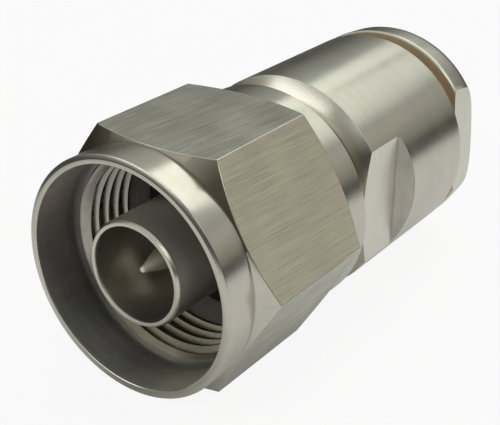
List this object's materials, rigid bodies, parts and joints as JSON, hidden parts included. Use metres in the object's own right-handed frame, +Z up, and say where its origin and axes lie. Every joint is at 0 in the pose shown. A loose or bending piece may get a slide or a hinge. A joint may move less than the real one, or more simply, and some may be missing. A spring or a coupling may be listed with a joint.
{
  "type": "n type connector",
  "caption": "Coaxial cable plug of the N type: a hexagonal coupling nut that spins on a plain round shell, a tube and pin inside it, and a screwed clamp nut for the cable.",
  "frame": {"origin": "on the plug's axis at the front face of the outer contact, which is its mating plane", "axes": "+X along the axis towards the cable, so that the mating end faces -X; +Z up, square to the coupling nut's flat that the plug lies on"},
  "size_m": [0.0373, 0.0208, 0.018],
  "materials": {
    "nickel_plate": "satin nickel plate over turned brass",
    "contact_plate": "plated brass, smooth",
    "spring_metal": "spring bronze, smooth",
    "ptfe": "white, waxy",
    "rubber": "matt"
  },
  "bodies": {
    "shell": {"shell": "nickel_plate", "outer_contact": "contact_plate", "front_insulator": "ptfe", "centre_contact": "contact_plate", "rear_insulator": "ptfe", "retaining_ring": "spring_metal", "front_gasket": "rubber", "braid_clamp": "nickel_plate", "clamp_gasket": "rubber"},
    "coupling_nut": {"coupling_nut": "nickel_plate"},
    "thrust_washer": {"thrust_washer": "nickel_plate"},
    "clamp_nut": {"clamp_nut": "nickel_plate"}
  },
  "joints": [
    {"name": "coupling_nut_spin", "type": "hinge", "parent": "shell", "child": "coupling_nut", "pos_m": [0.015, 0, 0], "axis": [1, 0, 0], "continuous": true},
    {"name": "clamp_nut_travel", "type": "slide", "parent": "shell", "child": "thrust_washer", "axis": [1, 0, 0], "range_m": [-0.0014, 0.004]},
    {"name": "clamp_nut_turn", "type": "hinge", "parent": "thrust_washer", "child": "clamp_nut", "pos_m": [0.03, 0, 0], "axis": [1, 0, 0], "range_deg": [-504, 1440]}
  ],
  "couplings": [
    {"joint": "clamp_nut_travel", "follows": "clamp_nut_turn", "m_per_rad": 0.00015915}
  ]
}
